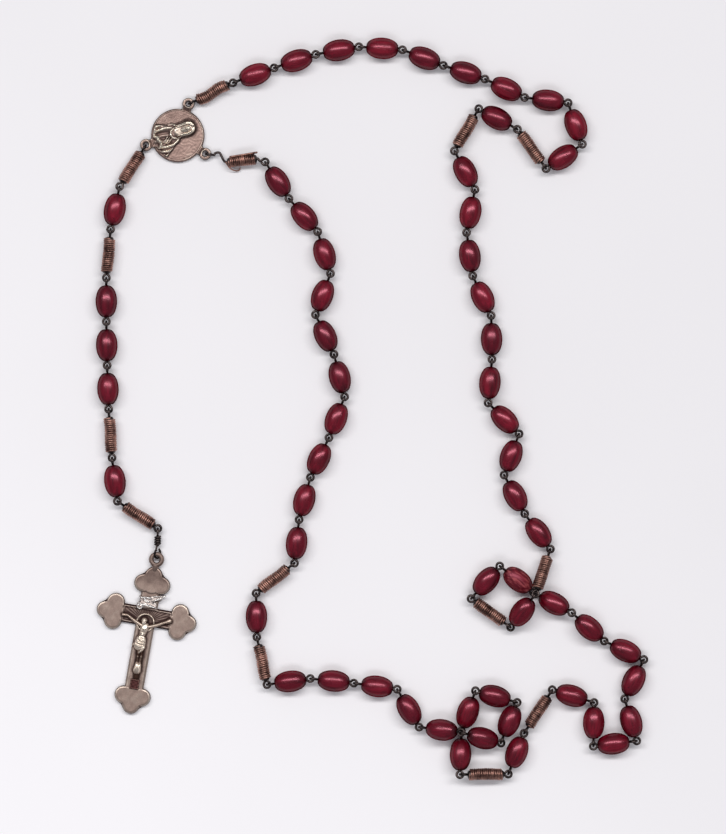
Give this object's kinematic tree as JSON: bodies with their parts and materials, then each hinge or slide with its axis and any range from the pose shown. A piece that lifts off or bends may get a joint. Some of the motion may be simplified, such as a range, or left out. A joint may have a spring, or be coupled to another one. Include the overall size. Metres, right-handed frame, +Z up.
{
  "type": "rosary",
  "caption": "Five-decade rosary of oval wooden beads and wire coils on linked eye pins, with a round centre medal, a short pendant strand and a crucifix, laid out flat.",
  "frame": {"origin": "middle of the laid-out rosary's footprint, on the surface it lies on", "axes": "+Z up out of the surface; +Y toward the medal end and -Y toward the foot of the crucifix; +X from the pendant strand toward the loop"},
  "size_m": [0.1548, 0.2088, 0.0082],
  "materials": {
    "bead_wood": "stained deep crimson and polished",
    "copper_coil": "aged copper wire, close wound",
    "dark_wire": "dark tarnished wire",
    "medal": "worn pinkish bronze, brighter on the relief",
    "cross_bronze": "brown-grey bronze with a bright worn rim",
    "corpus_metal": "pale worn metal",
    "dark_plaque": "dark enamel"
  },
  "bodies": {
    "medal": {"medal": "medal"},
    "coil_01": {"coil_01": "copper_coil"},
    "decade_1_beads_1_2": {"decade_1_beads_1_2": "bead_wood"},
    "decade_1_beads_3_4": {"decade_1_beads_3_4": "bead_wood"},
    "decade_1_beads_5_6": {"decade_1_beads_5_6": "bead_wood"},
    "decade_1_beads_7_8": {"decade_1_beads_7_8": "bead_wood"},
    "decade_1_beads_9_10": {"decade_1_beads_9_10": "bead_wood"},
    "coil_02": {"coil_02": "copper_coil"},
    "our_father_1_bead": {"our_father_1_bead": "bead_wood"},
    "coil_03": {"coil_03": "copper_coil"},
    "decade_2_beads_1_2": {"decade_2_beads_1_2": "bead_wood"},
    "decade_2_beads_3_4": {"decade_2_beads_3_4": "bead_wood"},
    "decade_2_beads_5_6": {"decade_2_beads_5_6": "bead_wood"},
    "decade_2_beads_7_8": {"decade_2_beads_7_8": "bead_wood"},
    "decade_2_beads_9_10": {"decade_2_beads_9_10": "bead_wood"},
    "coil_04": {"coil_04": "copper_coil"},
    "our_father_2_bead": {"our_father_2_bead": "bead_wood"},
    "coil_05": {"coil_05": "copper_coil"},
    "decade_3_beads_1_2": {"decade_3_beads_1_2": "bead_wood"},
    "decade_3_beads_3_4": {"decade_3_beads_3_4": "bead_wood"},
    "decade_3_beads_5_6": {"decade_3_beads_5_6": "bead_wood"},
    "decade_3_beads_7_8": {"decade_3_beads_7_8": "bead_wood"},
    "decade_3_beads_9_10": {"decade_3_beads_9_10": "bead_wood"},
    "coil_10": {"coil_10": "copper_coil"},
    "decade_5_beads_9_10": {"decade_5_beads_9_10": "bead_wood"},
    "decade_5_beads_7_8": {"decade_5_beads_7_8": "bead_wood"},
    "decade_5_beads_5_6": {"decade_5_beads_5_6": "bead_wood"},
    "decade_5_beads_3_4": {"decade_5_beads_3_4": "bead_wood"},
    "decade_5_beads_1_2": {"decade_5_beads_1_2": "bead_wood"},
    "coil_09": {"coil_09": "copper_coil"},
    "our_father_4_bead": {"our_father_4_bead": "bead_wood"},
    "coil_08": {"coil_08": "copper_coil"},
    "decade_4_beads_9_10": {"decade_4_beads_9_10": "bead_wood"},
    "decade_4_beads_7_8": {"decade_4_beads_7_8": "bead_wood"},
    "decade_4_beads_5_6": {"decade_4_beads_5_6": "bead_wood"},
    "decade_4_beads_3_4": {"decade_4_beads_3_4": "bead_wood"},
    "decade_4_beads_1_2": {"decade_4_beads_1_2": "bead_wood"},
    "coil_07": {"coil_07": "copper_coil"},
    "our_father_3_bead": {"our_father_3_bead": "bead_wood"},
    "coil_06": {"coil_06": "copper_coil"},
    "pendant_coil_1": {"pendant_coil_1": "copper_coil"},
    "pendant_pin_1": {"pendant_pin_1": "dark_wire"},
    "pendant_coil_2": {"pendant_coil_2": "copper_coil"},
    "pendant_pin_2": {"pendant_pin_2": "dark_wire"},
    "pendant_pin_3": {"pendant_pin_3": "dark_wire"},
    "pendant_pin_4": {"pendant_pin_4": "dark_wire"},
    "pendant_coil_3": {"pendant_coil_3": "copper_coil"},
    "pendant_pin_5": {"pendant_pin_5": "dark_wire"},
    "pendant_coil_4": {"pendant_coil_4": "copper_coil"},
    "wrapped_link": {"wrapped_link": "dark_wire"},
    "pendant_bead_1": {"pendant_bead_1": "bead_wood"},
    "pendant_bead_2": {"pendant_bead_2": "bead_wood"},
    "pendant_bead_3": {"pendant_bead_3": "bead_wood"},
    "pendant_bead_4": {"pendant_bead_4": "bead_wood"},
    "pendant_bead_5": {"pendant_bead_5": "bead_wood"},
    "crucifix": {"cross": "cross_bronze", "corpus": "corpus_metal", "title_scroll": "corpus_metal", "foot_plaque": "dark_plaque"}
  },
  "joints": [
    {"name": "pendant_coil_1_lift", "type": "hinge", "parent": "medal", "child": "pendant_coil_1", "pos_m": [-0.06393, 0.07326, 0.0016], "axis": [-0.848, 0.5299, 0], "range_deg": [-40, 40]},
    {"name": "pendant_pin_1_lift", "type": "hinge", "parent": "pendant_coil_1", "child": "pendant_pin_1", "pos_m": [-0.07086, 0.06159, 0.00315], "axis": [0.9781, -0.2079, 0], "range_deg": [-40, 40]},
    {"name": "pendant_bead_1_spin", "type": "hinge", "parent": "pendant_pin_1", "child": "pendant_bead_1", "pos_m": [-0.07204, 0.05602, 0.0031], "axis": [-0.2079, -0.9781, -0.0084], "continuous": true},
    {"name": "pendant_coil_2_lift", "type": "hinge", "parent": "pendant_pin_1", "child": "pendant_coil_2", "pos_m": [-0.0733, 0.04955, 0.00304], "axis": [-0.9962, 0.0872, 0], "range_deg": [-40, 40]},
    {"name": "pendant_pin_2_lift", "type": "hinge", "parent": "pendant_coil_2", "child": "pendant_pin_2", "pos_m": [-0.07442, 0.0359, 0.00305], "axis": [1, 0, 0], "range_deg": [-40, 40]},
    {"name": "pendant_bead_2_spin", "type": "hinge", "parent": "pendant_pin_2", "child": "pendant_bead_2", "pos_m": [-0.07442, 0.0302, 0.00305], "axis": [0, -1, 0], "continuous": true},
    {"name": "pendant_pin_3_lift", "type": "hinge", "parent": "pendant_pin_2", "child": "pendant_pin_3", "pos_m": [-0.0744, 0.0236, 0.00305], "axis": [-0.9998, -0.0175, 0], "range_deg": [-40, 40]},
    {"name": "pendant_bead_3_spin", "type": "hinge", "parent": "pendant_pin_3", "child": "pendant_bead_3", "pos_m": [-0.0743, 0.0179, 0.00305], "axis": [0.0175, -0.9998, 0], "continuous": true},
    {"name": "pendant_pin_4_lift", "type": "hinge", "parent": "pendant_pin_3", "child": "pendant_pin_4", "pos_m": [-0.07417, 0.0113, 0.00305], "axis": [0.9994, 0.0349, 0], "range_deg": [-40, 40]},
    {"name": "pendant_bead_4_spin", "type": "hinge", "parent": "pendant_pin_4", "child": "pendant_bead_4", "pos_m": [-0.07397, 0.0056, 0.00305], "axis": [0.0349, -0.9994, 0], "continuous": true},
    {"name": "pendant_coil_3_lift", "type": "hinge", "parent": "pendant_pin_4", "child": "pendant_coil_3", "pos_m": [-0.07371, -0.00099, 0.00305], "axis": [-0.9976, -0.0698, 0], "range_deg": [-40, 40]},
    {"name": "pendant_pin_5_swing", "type": "hinge", "parent": "pendant_coil_3", "child": "pendant_pin_5", "pos_m": [-0.07282, -0.01376, 0.00305], "axis": [0, 0, 1], "range_deg": [-35, 25]},
    {"name": "pendant_bead_5_spin", "type": "hinge", "parent": "pendant_pin_5", "child": "pendant_bead_5", "pos_m": [-0.07201, -0.02031, 0.00305], "axis": [0.1219, -0.9925, 0], "continuous": true},
    {"name": "pendant_coil_4_lift", "type": "hinge", "parent": "pendant_pin_5", "child": "pendant_coil_4", "pos_m": [-0.07057, -0.02647, 0.00305], "axis": [0.5592, 0.829, 0], "range_deg": [-40, 40]},
    {"name": "wrapped_link_swing", "type": "hinge", "parent": "pendant_coil_4", "child": "wrapped_link", "pos_m": [-0.05999, -0.03361, 0.0022], "axis": [0.0551, -0.0371, 0.9978], "range_deg": [-35, 35]},
    {"name": "crucifix_lift", "type": "hinge", "parent": "wrapped_link", "child": "crucifix", "pos_m": [-0.06011, -0.04087, 0.00145], "axis": [-0.9848, 0.1736, 0], "range_deg": [-50, 50]},
    {"name": "coil_01_lift", "type": "hinge", "parent": "medal", "child": "coil_01", "pos_m": [-0.05036, 0.08623, 0.0016], "axis": [0.4226, -0.9063, 0], "range_deg": [-30, 30]},
    {"name": "decade_1_beads_1_2_lift", "type": "hinge", "parent": "coil_01", "child": "decade_1_beads_1_2", "pos_m": [-0.03799, 0.09191, 0.00315], "axis": [-0.342, 0.9397, 0], "range_deg": [-30, 30]},
    {"name": "decade_1_beads_3_4_lift", "type": "hinge", "parent": "decade_1_beads_1_2", "child": "decade_1_beads_3_4", "pos_m": [-0.0147, 0.09977, 0.00305], "axis": [0.1736, -0.9848, 0], "range_deg": [-30, 30]},
    {"name": "decade_1_beads_5_6_lift", "type": "hinge", "parent": "decade_1_beads_3_4", "child": "decade_1_beads_5_6", "pos_m": [0.00964, 0.10056, 0.00305], "axis": [0.3584, 0.9336, 0], "range_deg": [-30, 30]},
    {"name": "decade_1_beads_7_8_lift", "type": "hinge", "parent": "decade_1_beads_5_6", "child": "decade_1_beads_7_8", "pos_m": [0.0328, 0.0923, 0.00305], "axis": [-0.4226, -0.9063, 0], "range_deg": [-30, 30]},
    {"name": "decade_1_beads_9_10_lift", "type": "hinge", "parent": "decade_1_beads_7_8", "child": "decade_1_beads_9_10", "pos_m": [0.05563, 0.08513, 0.00305], "axis": [0.9455, 0.3256, 0], "range_deg": [-30, 30]},
    {"name": "coil_02_lift", "type": "hinge", "parent": "decade_1_beads_9_10", "child": "coil_02", "pos_m": [0.04861, 0.0682, 0.00305], "axis": [0.809, 0.5878, 0], "range_deg": [-30, 30]},
    {"name": "our_father_1_bead_lift", "type": "hinge", "parent": "coil_02", "child": "our_father_1_bead", "pos_m": [0.0403, 0.07898, 0.00305], "axis": [-0.4695, -0.8829, 0], "range_deg": [-30, 30]},
    {"name": "coil_03_lift", "type": "hinge", "parent": "our_father_1_bead", "child": "coil_03", "pos_m": [0.02978, 0.08355, 0.00305], "axis": [-0.866, 0.5, 0], "range_deg": [-30, 30]},
    {"name": "decade_2_beads_1_2_lift", "type": "hinge", "parent": "coil_03", "child": "decade_2_beads_1_2", "pos_m": [0.0238, 0.07167, 0.00305], "axis": [0.8829, 0.4695, 0], "range_deg": [-30, 30]},
    {"name": "decade_2_beads_3_4_lift", "type": "hinge", "parent": "decade_2_beads_1_2", "child": "decade_2_beads_3_4", "pos_m": [0.02693, 0.04864, 0.00305], "axis": [-0.9903, -0.1392, 0], "range_deg": [-30, 30]},
    {"name": "decade_2_beads_5_6_lift", "type": "hinge", "parent": "decade_2_beads_3_4", "child": "decade_2_beads_5_6", "pos_m": [0.03374, 0.0253, 0.00305], "axis": [0.9998, 0.0175, 0], "range_deg": [-30, 30]},
    {"name": "decade_2_beads_7_8_lift", "type": "hinge", "parent": "decade_2_beads_5_6", "child": "decade_2_beads_7_8", "pos_m": [0.0335, 0.00102, 0.00305], "axis": [-0.7071, -0.7071, 0], "range_deg": [-30, 30]},
    {"name": "decade_2_beads_9_10_lift", "type": "hinge", "parent": "decade_2_beads_7_8", "child": "decade_2_beads_9_10", "pos_m": [0.03778, -0.0194, 0.00305], "axis": [0.8829, 0.4695, 0], "range_deg": [-30, 30]},
    {"name": "coil_04_lift", "type": "hinge", "parent": "decade_2_beads_9_10", "child": "coil_04", "pos_m": [0.05006, -0.04027, 0.00305], "axis": [-0.9455, 0.3256, 0], "range_deg": [-30, 30]},
    {"name": "our_father_2_bead_lift", "type": "hinge", "parent": "coil_04", "child": "our_father_2_bead", "pos_m": [0.04551, -0.05264, 0.00662], "axis": [0.809, -0.5878, 0], "range_deg": [-30, 0]},
    {"name": "coil_05_lift", "type": "hinge", "parent": "our_father_2_bead", "child": "coil_05", "pos_m": [0.03842, -0.06087, 0.00305], "axis": [0.5878, 0.809, 0], "range_deg": [-20, 10]},
    {"name": "decade_3_beads_1_2_lift", "type": "hinge", "parent": "coil_05", "child": "decade_3_beads_1_2", "pos_m": [0.02866, -0.05267, 0.00305], "axis": [-0.7547, 0.6561, 0], "range_deg": [0, 72]},
    {"name": "decade_3_beads_3_4_lift", "type": "hinge", "parent": "decade_3_beads_1_2", "child": "decade_3_beads_3_4", "pos_m": [0.04641, -0.05199, 0.00219], "axis": [-0.4695, -0.8829, 0], "range_deg": [-30, 15]},
    {"name": "decade_3_beads_5_6_lift", "type": "hinge", "parent": "decade_3_beads_3_4", "child": "decade_3_beads_5_6", "pos_m": [0.0663, -0.06562, 0.00304], "axis": [0.4226, 0.9063, 0], "range_deg": [-30, 30]},
    {"name": "decade_3_beads_7_8_lift", "type": "hinge", "parent": "decade_3_beads_5_6", "child": "decade_3_beads_7_8", "pos_m": [0.07149, -0.08236, 0.00305], "axis": [-0.9613, -0.2756, 0], "range_deg": [-30, 30]},
    {"name": "decade_3_beads_9_10_lift", "type": "hinge", "parent": "decade_3_beads_7_8", "child": "decade_3_beads_9_10", "pos_m": [0.06244, -0.09392, 0.00305], "axis": [-0.9998, 0.0175, 0], "range_deg": [-30, 30]},
    {"name": "coil_10_lift", "type": "hinge", "parent": "medal", "child": "coil_10", "pos_m": [-0.04558, 0.07159, 0.0016], "axis": [0.1392, 0.9903, 0], "range_deg": [-30, 30]},
    {"name": "decade_5_beads_9_10_lift", "type": "hinge", "parent": "coil_10", "child": "decade_5_beads_9_10", "pos_m": [-0.02932, 0.06862, 0.0031], "axis": [-0.8387, -0.5446, 0], "range_deg": [-30, 30]},
    {"name": "decade_5_beads_7_8_lift", "type": "hinge", "parent": "decade_5_beads_9_10", "child": "decade_5_beads_7_8", "pos_m": [-0.01477, 0.04891, 0.00305], "axis": [0.9563, 0.2924, 0], "range_deg": [-30, 30]},
    {"name": "decade_5_beads_5_6_lift", "type": "hinge", "parent": "decade_5_beads_7_8", "child": "decade_5_beads_5_6", "pos_m": [-0.01527, 0.02564, 0.00305], "axis": [-0.9063, -0.4226, 0], "range_deg": [-30, 30]},
    {"name": "decade_5_beads_3_4_lift", "type": "hinge", "parent": "decade_5_beads_5_6", "child": "decade_5_beads_3_4", "pos_m": [-0.0078, 0.00253, 0.00305], "axis": [0.9336, -0.3584, 0], "range_deg": [-30, 30]},
    {"name": "decade_5_beads_1_2_lift", "type": "hinge", "parent": "decade_5_beads_3_4", "child": "decade_5_beads_1_2", "pos_m": [-0.01731, -0.02013, 0.00305], "axis": [-0.9659, 0.2588, 0], "range_deg": [-30, 30]},
    {"name": "coil_09_lift", "type": "hinge", "parent": "decade_5_beads_1_2", "child": "coil_09", "pos_m": [-0.02226, -0.04393, 0.00305], "axis": [0.6157, -0.788, 0], "range_deg": [-30, 30]},
    {"name": "our_father_4_bead_lift", "type": "hinge", "parent": "coil_09", "child": "our_father_4_bead", "pos_m": [-0.03233, -0.05271, 0.00305], "axis": [-0.9998, -0.0175, 0], "range_deg": [-30, 30]},
    {"name": "coil_08_lift", "type": "hinge", "parent": "our_father_4_bead", "child": "coil_08", "pos_m": [-0.03194, -0.06499, 0.00305], "axis": [0.9781, 0.2079, 0], "range_deg": [-30, 30]},
    {"name": "decade_4_beads_9_10_lift", "type": "hinge", "parent": "coil_08", "child": "decade_4_beads_9_10", "pos_m": [-0.02839, -0.07738, 0.00305], "axis": [0.1392, -0.9903, 0], "range_deg": [-30, 30]},
    {"name": "decade_4_beads_7_8_lift", "type": "hinge", "parent": "decade_4_beads_9_10", "child": "decade_4_beads_7_8", "pos_m": [-0.00398, -0.07721, 0.00305], "axis": [0.1392, 0.9903, 0], "range_deg": [-30, 30]},
    {"name": "decade_4_beads_5_6_lift", "type": "hinge", "parent": "decade_4_beads_7_8", "child": "decade_4_beads_5_6", "pos_m": [0.01436, -0.08954, 0.00305], "axis": [-0.1045, -0.9945, 0], "range_deg": [-30, 30]},
    {"name": "decade_4_beads_3_4_lift", "type": "hinge", "parent": "decade_4_beads_5_6", "child": "decade_4_beads_3_4", "pos_m": [0.03674, -0.09307, 0.00302], "axis": [-0.9272, 0.3746, 0], "range_deg": [-30, 0]},
    {"name": "decade_4_beads_1_2_lift", "type": "hinge", "parent": "decade_4_beads_3_4", "child": "decade_4_beads_1_2", "pos_m": [0.02897, -0.07999, 0.00441], "axis": [-0.9455, 0.3256, 0], "range_deg": [-3, 0]},
    {"name": "coil_07_lift", "type": "hinge", "parent": "decade_4_beads_1_2", "child": "coil_07", "pos_m": [0.02581, -0.10265, 0.00439], "axis": [0, 1, 0], "range_deg": [-24, 24]},
    {"name": "our_father_3_bead_lift", "type": "hinge", "parent": "coil_07", "child": "our_father_3_bead", "pos_m": [0.03886, -0.10181, 0.00302], "axis": [0.9336, -0.3584, 0], "range_deg": [-30, 30]},
    {"name": "coil_06_lift", "type": "hinge", "parent": "our_father_3_bead", "child": "coil_06", "pos_m": [0.04343, -0.09041, 0.00305], "axis": [-0.8387, 0.5446, 0], "range_deg": [-30, 30]}
  ]
}
